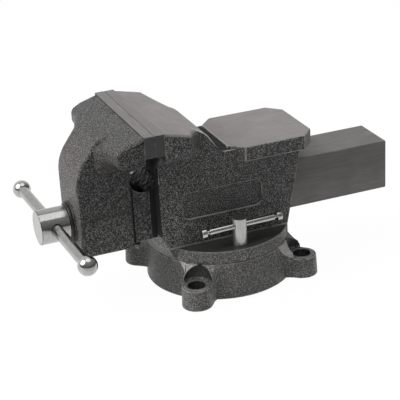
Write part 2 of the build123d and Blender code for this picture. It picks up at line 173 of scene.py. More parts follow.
def makeGroup(name, inputs, outputs):
    group = bpy.data.node_groups.new(name, "ShaderNodeTree")
    for label, value in inputs.items():
        kind = "NodeSocketVector" if isinstance(value, tuple) else "NodeSocketFloat"
        group.interface.new_socket(label, in_out="INPUT", socket_type=kind).default_value = value
    for label in outputs:
        group.interface.new_socket(label, in_out="OUTPUT", socket_type="NodeSocketFloat")
    return group, group.nodes.new("NodeGroupInput").outputs, group.nodes.new("NodeGroupOutput").inputs


def useGroup(group, **values):
    node = newNode(values["Vector"].id_data, "ShaderNodeGroup", node_tree=group)
    for key, value in values.items():
        feed(node.inputs[key], value)
    return node.outputs


def newMaterial(name):
    material = bpy.data.materials.new(name)
    material.use_nodes = True
    tree = material.node_tree
    tree.nodes.clear()
    out = tree.nodes.new("ShaderNodeOutputMaterial")
    shader = tree.nodes.new("ShaderNodeBsdfPrincipled")
    tree.links.new(shader.outputs[0], out.inputs["Surface"])
    return material, tree, shader.inputs


def addBump(sockets, height, distance, strength):
    node = newNode(height.id_data, "ShaderNodeBump")
    for label, value in (("Height", height), ("Distance", distance), ("Strength", strength)):
        feed(node.inputs[label], value)
    feed(sockets["Normal"], node.outputs[0])


def addObject(name, data):
    holder = bpy.data.objects.new(name, data)
    scene.collection.objects.link(holder)
    return holder


# view and light

view = {
    "place": (-0.4803, -1.2127, 0.6505),
    "right": (0.9247, -0.3769, -0.0528),
    "up": (0.1967, 0.3546, 0.9141),
    "lens": 122.4,
    "sensor": 36.0,
    "nearest": 0.05,
    "farthest": 50.0,
}

light = {
    "worldHorizon": 0.08,
    "worldZenith": 0.36,
    "zenithFrom": 0.9,
    "worldBack": 0.8,
    "backFrom": (0.2, 0.6),
    "keyPower": 25.5,
    "keyPlace": (-1.3, 0.1, 1.25),
    "keySize": 1.5,
    "topPower": 3.6,
    "topPlace": (0.05, -0.1, 1.35),
    "topSize": 1.1,
    "aim": (0.0, 0.0, 0.08),
}


def makeCamera():
    camera = bpy.data.cameras.new("viewCamera")
    camera.lens = view["lens"]
    camera.sensor_width = view["sensor"]
    camera.sensor_fit = "HORIZONTAL"
    camera.clip_start = view["nearest"]
    camera.clip_end = view["farthest"]
    right = Vector(view["right"]).normalized()
    back = right.cross(Vector(view["up"]).normalized()).normalized()
    turn = Matrix((right, back.cross(right), back)).transposed().to_4x4()
    scene.camera = addObject("viewCamera", camera)
    scene.camera.matrix_world = Matrix.Translation(view["place"]) @ turn


def makeLamp(word):
    lamp = bpy.data.lights.new(f"{word}Lamp", "AREA")
    lamp.shape = "DISK"
    lamp.size = light[f"{word}Size"]
    lamp.energy = light[f"{word}Power"]
    place = Vector(light[f"{word}Place"])
    holder = addObject(lamp.name, lamp)
    holder.location = place
    holder.rotation_euler = (Vector(light["aim"]) - place).to_track_quat("-Z", "Y").to_euler()


def makeWorld():
    world = bpy.data.worlds.new("studio")
    scene.world = world
    world.use_nodes = True
    tree = world.node_tree
    tree.nodes.clear()
    out = newNode(tree, "ShaderNodeOutputWorld")
    mix = newNode(tree, "ShaderNodeMixShader")
    soft = newNode(tree, "ShaderNodeBackground")
    white = newNode(tree, "ShaderNodeBackground")
    way = splitAxes(coordinate(tree, "Generated"))
    rising = mapRange(way["Z"], 0.0, light["zenithFrom"], light["worldHorizon"], light["worldZenith"])
    behind = mapRange(way["Y"], *light["backFrom"])  # bright behind the object, dark behind the viewer
    feed(soft.inputs["Strength"], mixFloat(behind, rising, light["worldBack"]))
    feed(mix.inputs[0], newNode(tree, "ShaderNodeLightPath").outputs["Is Camera Ray"])
    for socket, background in ((mix.inputs[1], soft), (mix.inputs[2], white)):
        background.inputs["Color"].default_value = (1, 1, 1, 1)
        feed(socket, background.outputs[0])
    feed(out.inputs["Surface"], mix.outputs[0])


makeCamera()
makeWorld()
makeLamp("key")
makeLamp("top")
scene.view_settings.view_transform = "Standard"
print("lights and camera ready")


# floor

floor = {
    "color": (0.62, 0.62, 0.62, 1),
    "roughness": 0.9,
    "reach": 6.0,
    "level": -0.4 * mm,
    "white": 1.03,
    "whiteShare": 0.94,
    "frontShare": 0.15,  # of the white that bright metal mirrors from the floor before the object
    "front": (-0.28, -0.1),
}


def makeFloor():
    mesh = bpy.data.meshes.new("studioFloor")
    reach = floor["reach"]
    corners = [(-reach, -reach, 0), (reach, -reach, 0), (reach, reach, 0), (-reach, reach, 0)]
    mesh.from_pydata(corners, [], [(0, 1, 2, 3)])
    plane = addObject("studioFloor", mesh)
    plane.location.z = floor["level"]
    material, tree, sockets = newMaterial("palePaper")
    sockets["Base Color"].default_value = floor["color"]
    sockets["Roughness"].default_value = floor["roughness"]
    sockets["Specular IOR Level"].default_value = 0.0
    out = next(node for node in tree.nodes if node.type == "OUTPUT_MATERIAL")
    shader = next(node for node in tree.nodes if node.type == "BSDF_PRINCIPLED")
    white = newNode(tree, "ShaderNodeEmission")
    white.inputs["Strength"].default_value = floor["white"]
    path = newNode(tree, "ShaderNodeLightPath").outputs
    alongY = splitAxes(coordinate(tree, "Object"))["Y"]
    nearer = mapRange(alongY, *floor["front"], floor["frontShare"], 1.0)
    shown = mathNode("MAXIMUM", path["Is Camera Ray"], product(path["Is Glossy Ray"], nearer))
    mix = newNode(tree, "ShaderNodeMixShader")
    feed(mix.inputs[0], product(shown, floor["whiteShare"]))
    feed(mix.inputs[1], shader.outputs[0])
    feed(mix.inputs[2], white.outputs[0])
    feed(out.inputs["Surface"], mix.outputs[0])
    mesh.materials.append(material)


makeFloor()


# mesh helpers

mending = {"merge": 1e-6, "flatAngle": 0.005, "cutAngle": 0.002}
edges = {"sharpAngle": 36, "smoothAngle": 50, "softSteps": 3, "softShare": 0.45}  # degrees


def cadCopy(node):
    bm = bmesh.new()
    bm.from_mesh(nodes[node].data)
    bmesh.ops.remove_doubles(bm, verts=bm.verts, dist=mending["merge"])
    bmesh.ops.dissolve_limit(bm, angle_limit=mending["flatAngle"], verts=bm.verts, edges=bm.edges)
    return bm


def roundEdges(bm, width, segments=2):
    layer = bm.faces.layers.float.get("edgeShare") or bm.faces.layers.float.new("edgeShare")
    sharp = [edge for edge in bm.edges if len(edge.link_faces) == 2 and edge.calc_length() > width
             and edge.calc_face_angle_signed(0) > math.radians(edges["sharpAngle"])]
    made = bmesh.ops.bevel(bm, geom=sharp, offset=width, segments=segments, profile=0.5, affect="EDGES",
                           clamp_overlap=False, loop_slide=True)
    for face in made["faces"]:
        face[layer] = 1.0


def applyModifiers(piece):
    graph = bpy.context.evaluated_depsgraph_get()
    graph.update()
    done = bpy.data.meshes.new_from_object(piece.evaluated_get(graph), preserve_all_data_layers=True,
                                           depsgraph=graph)
    old = piece.data
    piece.modifiers.clear()
    piece.data = done
    name = old.name
    bpy.data.meshes.remove(old)
    done.name = name


def makePiece(name, bm, node, *materials, smoothAngle=edges["smoothAngle"]):
    mesh = bpy.data.meshes.new(name)
    bmesh.ops.recalc_face_normals(bm, faces=bm.faces)
    bm.to_mesh(mesh)
    bm.free()
    mesh.polygons.foreach_set("use_smooth", [True] * len(mesh.polygons))
    mesh.set_sharp_from_angle(angle=math.radians(smoothAngle))
    for material in materials:
        mesh.materials.append(material)
    piece = addObject(name, mesh)
    flatten = piece.modifiers.new("flatFaces", "WEIGHTED_NORMAL")
    flatten.keep_sharp = True
    flatten.weight = 100
    applyModifiers(piece)
    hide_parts(node)
    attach(piece, bodyOf[node])


def cutMesh(bm, *cutters):
    made = []
    for source in (bm, *cutters):
        bmesh.ops.recalc_face_normals(source, faces=source.faces)
        mesh = bpy.data.meshes.new("blank")
        source.to_mesh(mesh)
        made.append(addObject("blank", mesh))
    holder, *tools = made
    for cutter, tool in zip(cutters, tools):
        cutter.free()
        cut = holder.modifiers.new("cut", "BOOLEAN")
        cut.operation = "DIFFERENCE"
        cut.solver = "EXACT"
        cut.object = tool
    applyModifiers(holder)
    bm.clear()
    bm.from_mesh(holder.data)
    for old in made:
        mesh = old.data
        bpy.data.objects.remove(old)
        bpy.data.meshes.remove(mesh)
    bmesh.ops.dissolve_limit(bm, angle_limit=mending["cutAngle"], verts=bm.verts, edges=bm.edges)


def frameAlong(axis):
    axis = Vector(axis).normalized()
    side = axis.cross(Vector((0, 0, 1)) if abs(axis.z) < 0.9 else Vector((1, 0, 0))).normalized()
    return axis, side, axis.cross(side)


def circle(bm, middle, side, lift, radius, segments):
    angles = (2 * math.pi * step / segments for step in range(segments))
    return [bm.verts.new(middle + (side * math.cos(a) + lift * math.sin(a)) * radius) for a in angles]


def bridge(bm, rings, segments):
    for first, second in zip(rings, rings[1:]):
        for step in range(segments):
            turn = (step + 1) % segments
            if len(first) == 1:
                bm.faces.new((first[0], second[turn], second[step]))
            elif len(second) == 1:
                bm.faces.new((first[step], first[turn], second[0]))
            else:
                bm.faces.new((first[step], first[turn], second[turn], second[step]))


def lathe(bm, profile, origin, axis, segments):
    axis, side, lift = frameAlong(axis)
    rings = []
    for along, radius in profile:
        middle = Vector(origin) + axis * along
        rings.append(circle(bm, middle, side, lift, radius, segments) if radius else [bm.verts.new(middle)])
    bridge(bm, rings, segments)
    return bm


def bore(radius, reach, middle, axis, segments):  # a round cutter
    profile = [(-reach, 0), (-reach, radius), (reach, radius), (reach, 0)]
    return lathe(bmesh.new(), profile, middle, axis, segments)


def softened(points, radius):  # with rounded corners
    steps, most = edges["softSteps"], edges["softShare"]
    path = [points[0]]
    for prior, corner, later in zip(points, points[1:], points[2:]):
        corner = Vector(corner)
        back, forth = Vector(prior) - corner, Vector(later) - corner
        reach = min(radius, back.length * most, forth.length * most)
        start, end = corner + back.normalized() * reach, corner + forth.normalized() * reach
        for step in range(steps + 1):
            share = step / steps
            path.append(tuple(start.lerp(corner, share).lerp(corner.lerp(end, share), share)))
    return path + [points[-1]]


def sweepTube(bm, points, radius, segments):
    points = [Vector(point) for point in points]
    rings = []
    side = None
    for index, point in enumerate(points):
        along = (points[min(index + 1, len(points) - 1)] - points[max(index - 1, 0)]).normalized()
        side = side or frameAlong(along)[1]
        side = (side - along * side.dot(along)).normalized()
        rings.append(circle(bm, point, side, along.cross(side), radius, segments))
    bridge(bm, rings, segments)
    bm.faces.new(reversed(rings[0]))
    bm.faces.new(rings[-1])
    return bm


# effects shared by the finishes

noiseSpan = (0.3, 0.7)  # nearly all values of a noise texture lie between these
grainLook = {"smoothness": 0.6, "pebbleShare": 0.8, "detail": 3.0, "fleckScale": 1.1, "fleckRoughness": 0.75,
             "fleckSpan": (0.52, 0.6), "wideScale": 34.0, "wideSpread": (0.86, 1.14)}
rubLook = {"detail": 4.0, "span": (0.32, 0.62)}
markLook = {"spread": (0.88, 1.12), "cloudScale": 45.0, "cloudDetail": 5.0}


def buildCastGrain():
    look = grainLook
    group, source, target = makeGroup("castGrain", {"Vector": (0, 0, 0), "Cell": 1.8},
                                      ("Height", "Speck", "Tone"))
    scale = mathNode("DIVIDE", 1000.0, source["Cell"])
    cells = newNode(group, "ShaderNodeTexVoronoi", feature="SMOOTH_F1")
    for label, value in (("Vector", source["Vector"]), ("Scale", scale), ("Smoothness", look["smoothness"])):
        feed(cells.inputs[label], value)
    pebble = noise(source["Vector"], scale, look["detail"])
    finer = product(scale, look["fleckScale"])
    fleck = noise(source["Vector"], finer, look["detail"], look["fleckRoughness"])
    wide = noise(source["Vector"], look["wideScale"], look["detail"])
    height = mathNode("MULTIPLY_ADD", cells.outputs["Distance"], look["pebbleShare"], pebble)
    feed(target["Height"], height)
    feed(target["Speck"], mapRange(fleck, *look["fleckSpan"]))
    feed(target["Tone"], mapRange(wide, *noiseSpan, *look["wideSpread"]))
    return group


def buildEdgeRub():
    group, source, target = makeGroup("edgeRub", {"Vector": (0, 0, 0), "Amount": 0.7, "Patch": 9.0}, ("Rub",))
    scale = mathNode("DIVIDE", 1000.0, source["Patch"])
    left = mapRange(noise(source["Vector"], scale, rubLook["detail"]), *rubLook["span"])
    feed(target["Rub"], product(edgeShare(group), left, source["Amount"]))
    return group


def buildToolMarks():
    inputs = {"Vector": (0, 0, 0), "Stretch": (1, 1, 1), "Fineness": 900.0}
    group, source, target = makeGroup("toolMarks", inputs, ("Height", "Tone", "Cloud"))
    stretched = newNode(group, "ShaderNodeVectorMath", operation="MULTIPLY")
    feed(stretched.inputs[0], source["Vector"])
    feed(stretched.inputs[1], source["Stretch"])
    lines = noise(stretched.outputs[0], source["Fineness"])
    cloud = noise(source["Vector"], markLook["cloudScale"], markLook["cloudDetail"])
    feed(target["Height"], lines)
    feed(target["Tone"], mapRange(lines, *noiseSpan, *markLook["spread"]))
    feed(target["Cloud"], mapRange(cloud, *noiseSpan))
    return group


def buildWearAndHighlightEdge():  # edges between two places along X and two heights, for wear and painted highlights
    group, source, target = makeGroup(
        "wearAndHighlightEdge", {"Vector": (0, 0, 0), "From": -0.1, "To": 0.1, "Low": 0.0, "High": 0.2}, ("Mask",))
    axes = splitAxes(source["Vector"])
    total = edgeShare(group)
    for axis, low, high, blur in (("X", "From", "To", 0.003), ("Z", "Low", "High", 0.0005)):
        for limit, sign in ((low, 1), (high, -1)):
            inside = product(mathNode("SUBTRACT", axes[axis], source[limit]), sign)
            total = product(total, past(inside, 0.0, blur))
    feed(target["Mask"], total)
    return group


castGrain = buildCastGrain()
wearAndHighlightEdge = buildWearAndHighlightEdge()
edgeRub = buildEdgeRub()
toolMarks = buildToolMarks()


# hammer paint on the castings

hammerPaint = {
    "color": (0.019, 0.0187, 0.0184),
    # the base's lighter paint and speck are painted light from the floor below
    "baseColor": (0.072, 0.0712, 0.0684),
    "speckColor": (0.42, 0.41, 0.401),
    "jawSpeck": (0.35, 0.341, 0.334),
    "baseSpeck": (0.52, 0.51, 0.495),
    "speckShare": 0.9,
    "cell": 1.08,  # mm
    "bump": 0.8 * mm,
    "bumpStrength": 0.8,
    "roughness": (0.42, 0.3),  # paint, speck
    "gloss": 0.35,
    "jawGloss": 0.27,
    "rubColor": (0.42, 0.41, 0.4),
    "rubAmount": 0.85,
    "rubPatch": 7.0,  # mm
    "rubMetal": 0.6,
    # grease on the ram, and painted shade on the ram's front end and in the gap behind the closed jaws
    "greaseAndShadeColor": (0.02, 0.02, 0.02),
    # painted shadow of the step where the neck starts
    "stepShadowColor": (0.003, 0.003, 0.003),
    # gussets painted lighter where light falls on them
    "gussetColor": (0.22, 0.216, 0.21),
    "gussetSpeck": (0.8, 0.79, 0.78),
    "shadeColor": (0.012, 0.012, 0.012),
    "ledgeColor": (0.034, 0.034, 0.0332),
    # painted highlights and glints
    "brightColor": (0.85, 0.84, 0.82),
}

ground = {
    "topColor": (0.232, 0.215, 0.211),
    "ramColor": (0.163, 0.156, 0.153),
    "metal": 0.1,
    "roughness": 0.5,
    "fineness": 700.0,
    "topStretch": (0.06, 1, 1),
    "ramStretch": (0.05, 1, 1),
    "cloud": (0.9, 1.1),
    "bump": 0.06,
}

throat = {
    "x": -0.0897,
    "z": 0.129,
    "radius": 0.0134,
    # near-black: painted shade inside the pipe throat
    "throatShadeColor": (0.004, 0.004, 0.004),
    "roughness": 0.25,
    "gloss": 0.05,
    "lumpScale": 160.0,
    "lumpHeight": 3.2 * mm,
    "cleaner": (-0.0875, -0.082),  # places along X
    "speckShare": (0.03, 0.4),
}

paintedFades = {  # slow changes of painted light and shade: from one place to another, and the factor at each
    "jawSide": (0.06, 0.1, 1.35, 0.84),
    "jawFront": (0.1, 0.175, 1.4, 0.78),
    "ramTop": (0.09, 0.17, 1.27, 0.93),
    "ramSide": (0.065, 0.1, 1.42, 1.07),
    "crown": (-0.07, -0.02, 0.99, 1.13),
    "anvil": (0.0, 0.06, 0.85, 1.02),
    "gusset": (-0.05, 0.05, 2.0, 0.7),
    "gussetSpeck": (-0.05, 0.05, 1.18, 0.72),
    "farSide": (0.0, 0.02, 1.0, 0.3),
}

paintedShading = {  # painted light and shade on the castings: their limits, and how much they add
    "jawFacing": (-0.4, -0.7),
    "jawWarmth": (1.04, 0.98, 0.97),
    "bodyHeight": (0.13, 0.08),
    "bodyFront": (-0.03, -0.06),
    "bodyFoot": 0.5,
    "baseFront": (-0.03, -0.08),
    "baseFar": (-0.065, -0.035),
    "baseLeft": -0.55,
    "baseMiddleFacing": ((-0.1, 0.35), 0.12),
    "baseMiddle": -0.08,
    "baseRightFacing": (0.4, 0.7),
    "baseRight": 0.6,
}

wearAndPaintedLight = {  # where each kind of wear, dirt, painted light and painted shade lies, in metres and degrees; facing is the normal's limit and blur
    "crown": {"above": 0.1475, "end": -0.003, "facing": (0.56, 0.06), "grain": (0.93, 1.16)},
    "anvil": {"above": 0.149, "facing": (0.875, 0.075), "along": (0.014, 0.1), "height": (0.1335, 0.1356),
              "patches": (0.92, 1.02, 0.35, 1.0), "rear": 0.079, "rearFacing": (0.4, 0.1),
              "rearHeight": (0.134, 0.1492), "rearSpecks": (0.25, 0.55)},
    "ram": {"start": -0.082, "halfWidth": 0.0177, "roof": 0.1054, "greaseAndShadeEnd": -0.073, "facing": (0.5, 0.1)},
    "boss": {"end": -0.159, "specks": 0.5, "rough": 0.6},
    "glints": {"spots": ((-0.1, 0.1388, 0.0027), (-0.0912, 0.1332, 0.0012)), "side": 0.023, "core": 0.6,
              "flatten": 1.6, "rough": 0.3},
    "gap": {"end": -0.0765, "height": (0.067, 0.159), "rough": 0.7},
    "step": {"along": (-0.1024, -0.1009), "side": 0.02865, "top": 0.1225, "rough": 0.8},
    "finEdge": {"along": (-0.036, 0.0), "height": (0.146, 0.2), "rough": 0.35},
    "cheek": {"along": (-0.146, -0.133), "height": (0.161, 0.176), "rough": 0.35, "specks": (0.0, 0.3)},
    "saddle": {"along": (-0.03, 0.0035), "height": (0.1455, 0.1475), "side": 0.0375, "facing": (0.75, 0.05),
               "specks": 0.15, "rough": 0.9},
    "rim": {"top": 0.0516, "facing": (0.6, 0.1), "specks": 0.9, "edge": (0.0495, 0.0525), "start": -0.0485,
            "edgeSpecks": (0.35, 0.9), "rough": 0.5},
    "ledge": {"top": 0.05225, "facing": (0.925, 0.025), "specks": 0.2, "rough": 0.3, "grain": 0.25},
    "footAndLedgeLines": {"foot": (0.0517, 0.0536), "footFacing": (0.6, 0.1), "panel": (0.0795, 0.0835),
             "panelFacing": (0.35, 0.1), "patches": (0.9, 1.05, 0.3, 1.0)},
    "gusset": {"height": (0.022, 0.037), "reach": (10.5, 18), "reachBlur": 0.005, "start": 0.01585,
               "shown": (0.0232, 0.0376), "rough": 0.5},
    "lug": {"circle": 0.0896, "turn": 52.5, "hole": 0.0093, "pad": 0.01575, "padTop": 0.024, "specks": 0.15},
}


def surface(tree):  # what a layer of the paint can look at
    place = coordinate(tree, "Object")
    axes, normal = splitAxes(place), splitAxes(coordinate(tree, "Normal"))
    grain = useGroup(castGrain, Vector=place, Cell=hammerPaint["cell"])
    return SimpleNamespace(place=place, x=axes["X"], y=axes["Y"], z=axes["Z"], edge=edgeShare(tree),
                           side=mathNode("ABSOLUTE", axes["Y"]), normalX=normal["X"], normalZ=normal["Z"],
                           speck=grain["Speck"], tone=grain["Tone"], height=grain["Height"])


def castPaint(name, color, speck, gloss, tone, layers):
    look = hammerPaint
    material, tree, sockets = newMaterial(name)
    at = surface(tree)
    rub = useGroup(edgeRub, Vector=at.place, Amount=look["rubAmount"], Patch=look["rubPatch"])["Rub"]
    specks = product(at.speck, look["speckShare"])
    paint = mixColor(specks, scaled(look[color], at.tone), look[speck])
    state = {
        # tone paints each casting's light and shade into its colour
        "color": mixColor(rub, tone(at, paint), look["rubColor"]),
        "metal": product(rub, look["rubMetal"]),
        "rough": between(at.speck, *look["roughness"]),
        "height": at.height,
    }
    for layer in layers:
        mask, changes = layer(at)
        for key, value in changes.items():
            mixer = mixColor if key == "color" else mixFloat
            state[key] = mixer(mask, state[key], value)
    for label, key in (("Base Color", "color"), ("Metallic", "metal"), ("Roughness", "rough")):
        feed(sockets[label], state[key])
    sockets["Specular IOR Level"].default_value = look[gloss]
    addBump(sockets, state["height"], look["bump"], look["bumpStrength"])
    return material


def jawLightAndShade(at, color):  # painted light and shade: lighter towards the foot, and a warmer copy on faces turned to the front
    front = mapRange(at.normalX, *paintedShading["jawFacing"])
    side, ahead = (mapRange(at.z, *paintedFades[name]) for name in ("jawSide", "jawFront"))
    shade = scaled(color, mixFloat(front, side, ahead))
    return mixColor(front, shade, paintedShading["jawWarmth"], "MULTIPLY")


def bodyPaintedLight(at, color):  # painted light near the front foot
    low = product(mapRange(at.z, *paintedShading["bodyHeight"]), mapRange(at.x, *paintedShading["bodyFront"]))
    return scaled(color, grown(low, paintedShading["bodyFoot"]))


def baseLightAndShade(at, color):  # painted shade under the jaw, and painted light on faces turned to the right
    left = product(mapRange(at.x, *paintedShading["baseFront"]), mapRange(at.y, *paintedShading["baseFar"]))
    middle = band(at.normalX, *paintedShading["baseMiddleFacing"])
    right = mapRange(at.normalX, *paintedShading["baseRightFacing"])
    shares = {"baseLeft": left, "baseMiddle": middle, "baseRight": right}
    return scaled(color, product(*(grown(share, paintedShading[name]) for name, share in shares.items())))


def speckled(at, share, color, speck="speckColor"):
    return mixColor(product(at.speck, share), hammerPaint[color], hammerPaint[speck])


def edgeBetween(at, spot):
    (start, end), (low, high) = spot["along"], spot["height"]
    return useGroup(wearAndHighlightEdge, Vector=at.place, From=start, To=end, Low=low, High=high)["Mask"]


def groundMetal(at, color, stretch):
    marks = useGroup(toolMarks, Vector=at.place, Stretch=stretch, Fineness=ground["fineness"])
    tone = product(marks["Tone"], between(marks["Cloud"], *ground["cloud"]))
    return {"color": scaled(color, tone), "metal": ground["metal"], "rough": ground["roughness"],
            "height": product(marks["Height"], ground["bump"])}


def groundTops(at):  # jaw top back to the saddle, and the anvil, with painted light growing towards the fin and towards the anvil's rear
    top, pad = wearAndPaintedLight["crown"], wearAndPaintedLight["anvil"]
    crown = product(past(at.normalZ, *top["facing"]), past(at.z, top["above"], 0.3 * mm),
                    before(at.x, top["end"], 1 * mm))
    anvil = product(past(at.normalZ, *pad["facing"]), past(at.z, pad["above"], 0.2 * mm))
    changes = groundMetal(at, ground["topColor"], ground["topStretch"])
    crownGrainAndLight = product(between(at.speck, *top["grain"]), mapRange(at.x, *paintedFades["crown"]))
    factor = mixFloat(crown, mapRange(at.x, *paintedFades["anvil"]), crownGrainAndLight)
    changes["color"] = scaled(changes["color"], factor)
    return mathNode("MAXIMUM", crown, anvil), changes


def groundRam(at):
    ram = wearAndPaintedLight["ram"]
    inside = product(before(at.side, ram["halfWidth"], 0.1 * mm), before(at.z, ram["roof"], 0.1 * mm))
    mask = product(past(at.x, ram["start"], 0.5 * mm), grown(inside, -1.0))
    # grease, and painted shade, towards the end where the ram runs into the body
    color = mixColor(past(at.x, ram["greaseAndShadeEnd"], 3 * mm), hammerPaint["greaseAndShadeColor"], ground["ramColor"])
    # painted light: the top lighter next to the body, the sides lighter low down
    top, side = mapRange(at.x, *paintedFades["ramTop"]), mapRange(at.z, *paintedFades["ramSide"])
    color = scaled(color, mixFloat(past(at.normalZ, *ram["facing"]), side, top))
    return mask, groundMetal(at, color, ground["ramStretch"])


def shadedThroat():  # the wall of the pipe throat, painted near-black for the shade inside it, with more light specks on the fixed jaw's side
    material, tree, sockets = newMaterial("shadedThroat")
    at = surface(tree)
    share = product(mapRange(at.x, *throat["cleaner"]), between(at.speck, *throat["speckShare"]))
    feed(sockets["Base Color"], mixColor(share, throat["throatShadeColor"], hammerPaint["speckColor"]))
    addBump(sockets, noise(at.place, throat["lumpScale"]), throat["lumpHeight"], hammerPaint["bumpStrength"])
    sockets["Roughness"].default_value = throat["roughness"]
    sockets["Specular IOR Level"].default_value = throat["gloss"]
    return material


def bossPaintedShade(at):  # painted shade on the boss behind the thrust washer
    boss = wearAndPaintedLight["boss"]
    dark = speckled(at, boss["specks"], "shadeColor")
    return before(at.x, boss["end"], 0.2 * mm), {"color": dark, "metal": 0.0, "rough": boss["rough"]}


def throatGlints(at):  # painted glints at the pipe throat's lip
    glints = wearAndPaintedLight["glints"]
    spots = []
    for x, z, size in glints["spots"]:
        lift = product(mathNode("SUBTRACT", at.z, z), glints["flatten"])
        away = lengthOf(mathNode("SUBTRACT", at.x, x), lift)
        spots.append(mapRange(away, size * glints["core"], size, 1.0, 0.0))
    mask = product(mathNode("MAXIMUM", *spots), past(at.side, glints["side"], 3 * mm))
    return mask, {"color": hammerPaint["brightColor"], "rough": glints["rough"], "height": 0.0}


def gapPaintedShade(at):  # painted shade on the body's front face, behind the closed jaws
    gap = wearAndPaintedLight["gap"]
    mask = product(before(at.x, gap["end"], 0.3 * mm), band(at.z, gap["height"], 1 * mm))
    return mask, {"color": hammerPaint["greaseAndShadeColor"], "rough": gap["rough"]}


def stepPaintedShadow(at):  # painted shadow in the corner where the neck starts
    step = wearAndPaintedLight["step"]
    mask = product(band(at.x, step["along"], 0.2 * mm), past(at.side, step["side"], 0.15 * mm),
                   before(at.z, step["top"], 2.5 * mm))
    return mask, {"color": hammerPaint["stepShadowColor"], "rough": step["rough"]}


# a bright edge: a painted highlight, over worn metal on the fin
def brightEdge(at, spot):
    return edgeBetween(at, spot), {"color": hammerPaint["brightColor"], "metal": 0.0, "rough": spot["rough"]}


def burrAndHighlight(at):  # the fin's edge: bright worn metal and a painted highlight
    return brightEdge(at, wearAndPaintedLight["finEdge"])


def cheekHighlight(at):  # painted highlight on the head's edge in front
    mask, changes = brightEdge(at, wearAndPaintedLight["cheek"])
    return product(mask, mapRange(at.speck, *wearAndPaintedLight["cheek"]["specks"])), changes


def dustyAnvil(at):  # its lower edge, and its slanted and rear faces
    anvil = wearAndPaintedLight["anvil"]
    edge = product(edgeBetween(at, anvil), mapRange(at.tone, *anvil["patches"]))
    rear = product(past(at.normalX, *anvil["rearFacing"]), past(at.x, anvil["rear"], 1 * mm),
                   band(at.z, anvil["rearHeight"], 0.3 * mm), between(at.speck, *anvil["rearSpecks"]))
    return mathNode("MAXIMUM", edge, rear), {"color": hammerPaint["rubColor"], "metal": 0.0}


def rimPaintedLight(at):  # painted light on the turning flange's side, as from the floor below
    rim = wearAndPaintedLight["rim"]
    upright = before(mathNode("ABSOLUTE", at.normalZ), *rim["facing"])
    mask = product(before(at.z, rim["top"], 0.2 * mm), upright)
    return mask, {"color": speckled(at, rim["specks"], "baseColor", "baseSpeck")}


def smoothLedge(at):  # the flange's top, where the paint has run smooth
    ledge = wearAndPaintedLight["ledge"]
    mask = product(past(at.normalZ, *ledge["facing"]), before(at.z, ledge["top"], 0.25 * mm))
    return mask, {"color": speckled(at, ledge["specks"], "ledgeColor"), "rough": ledge["rough"],
                  "height": product(at.height, ledge["grain"])}


def rimWearAndHighlight(at):  # the flange's upper edge: worn paint and a painted highlight
    rim = wearAndPaintedLight["rim"]
    mask = product(at.edge, band(at.z, rim["edge"], 0.2 * mm), past(at.x, rim["start"], 3.5 * mm),
                   between(at.speck, *rim["edgeSpecks"]))
    return mask, {"color": hammerPaint["rubColor"], "rough": rim["rough"]}


def dustAndHighlightLine(at):  # light lines along the foot of the walls and on the panel's lower ledge: dust and painted highlight
    footAndLedgeLines = wearAndPaintedLight["footAndLedgeLines"]
    foot = product(band(at.z, footAndLedgeLines["foot"], 0.3 * mm), before(at.normalZ, *footAndLedgeLines["footFacing"]))
    ledge = product(band(at.z, footAndLedgeLines["panel"], 0.3 * mm), past(at.normalZ, *footAndLedgeLines["panelFacing"]))
    mask = product(mathNode("MAXIMUM", foot, ledge), mapRange(at.tone, *footAndLedgeLines["patches"]))
    return mask, {"color": hammerPaint["rubColor"]}


def shadedSaddle(at):  # painted shade in the narrow saddle in front of the anvil
    saddle = wearAndPaintedLight["saddle"]
    mask = product(past(at.normalZ, *saddle["facing"]), band(at.z, saddle["height"], 0.3 * mm),
                   band(at.x, saddle["along"], 1 * mm), before(at.side, saddle["side"], 1.5 * mm))
    return mask, {"color": speckled(at, saddle["specks"], "shadeColor"), "rough": saddle["rough"]}


def aroundLugs(at):  # angle from the nearest of the four lugs, and distance from its bolt's axis
    quarter = math.pi / 2
    lug = wearAndPaintedLight["lug"]
    turned = mathNode("MULTIPLY_ADD", mathNode("ARCTAN2", at.y, at.x), 1 / quarter, 4.5 - lug["turn"] / 90)
    off = product(mathNode("SUBTRACT", mathNode("FRACT", turned), 0.5), quarter)
    radius = lengthOf(at.x, at.y)
    along, across = (product(radius, mathNode(part, off)) for part in ("COSINE", "SINE"))
    return off, lengthOf(mathNode("SUBTRACT", along, lug["circle"]), across)


# gussets painted light, one facet of each lighter than the other as light falls on them, and painted shade on
# the far side
def gussetPaintedLight(at):
    gusset = wearAndPaintedLight["gusset"]
    side, away = aroundLugs(at)
    reach = mapRange(at.z, *gusset["height"], *map(math.radians, gusset["reach"]))
    inside = mathNode("SUBTRACT", reach, mathNode("ABSOLUTE", side))
    mask = product(past(inside, gusset["reachBlur"], gusset["reachBlur"]), mapRange(at.y, *paintedFades["farSide"]),
                   past(away, gusset["start"], 0.15 * mm), band(at.z, gusset["shown"], 0.4 * mm))
    plain = scaled(hammerPaint["gussetColor"], mapRange(side, *paintedFades["gusset"]))
    speck = scaled(hammerPaint["gussetSpeck"], mapRange(side, *paintedFades["gussetSpeck"]))
    return mask, {"color": mixColor(at.speck, plain, speck), "rough": gusset["rough"]}


def shadedLugs(at):  # bolt holes and the round faces above the pads
    lug = wearAndPaintedLight["lug"]
    away = aroundLugs(at)[1]
    wall = product(before(away, lug["pad"], 0.15 * mm), past(at.z, lug["padTop"], 0.5 * mm))
    mask = mathNode("MAXIMUM", before(away, lug["hole"], 0.2 * mm), wall)
    return mask, {"color": speckled(at, lug["specks"], "shadeColor")}


